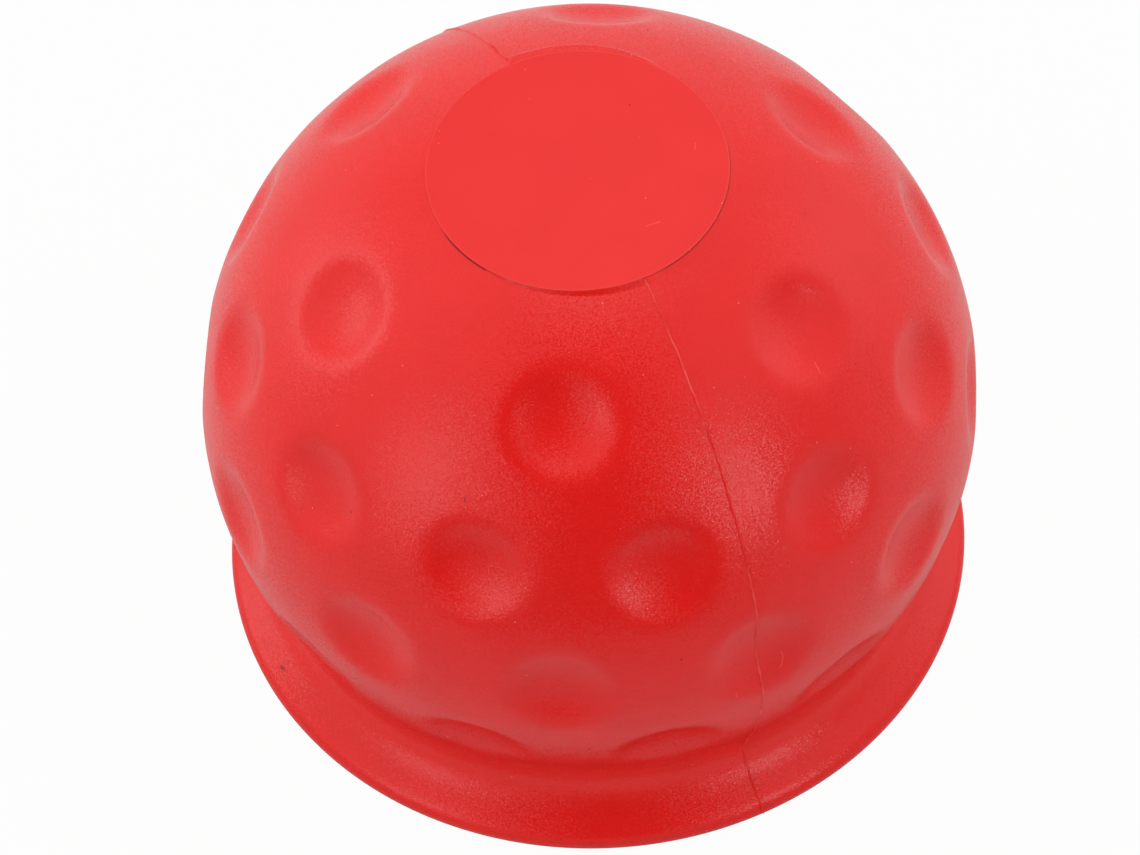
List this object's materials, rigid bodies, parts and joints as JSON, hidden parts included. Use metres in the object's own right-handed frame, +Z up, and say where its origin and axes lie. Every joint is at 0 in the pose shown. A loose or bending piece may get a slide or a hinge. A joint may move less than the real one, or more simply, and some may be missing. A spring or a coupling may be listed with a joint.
{
  "type": "tow ball cover",
  "caption": "Soft dimpled ball-shaped cap with a flat facet on top and a flared skirt, hollow and open below, that pushes over a tow ball to cover it.",
  "frame": {"origin": "on the cover's axis, in the plane of the rim that the cover stands on", "axes": "+Z up along the cover's axis, from the open rim to the flat facet; the mould's parting plane is X = 0, and -Y is the side that faces the viewer"},
  "size_m": [0.0638, 0.0638, 0.0518],
  "materials": {
    "soft_plastic": "satin red soft plastic with a fine moulded grain"
  },
  "bodies": {
    "root": {"cover_shell": "soft_plastic"}
  },
  "joints": []
}
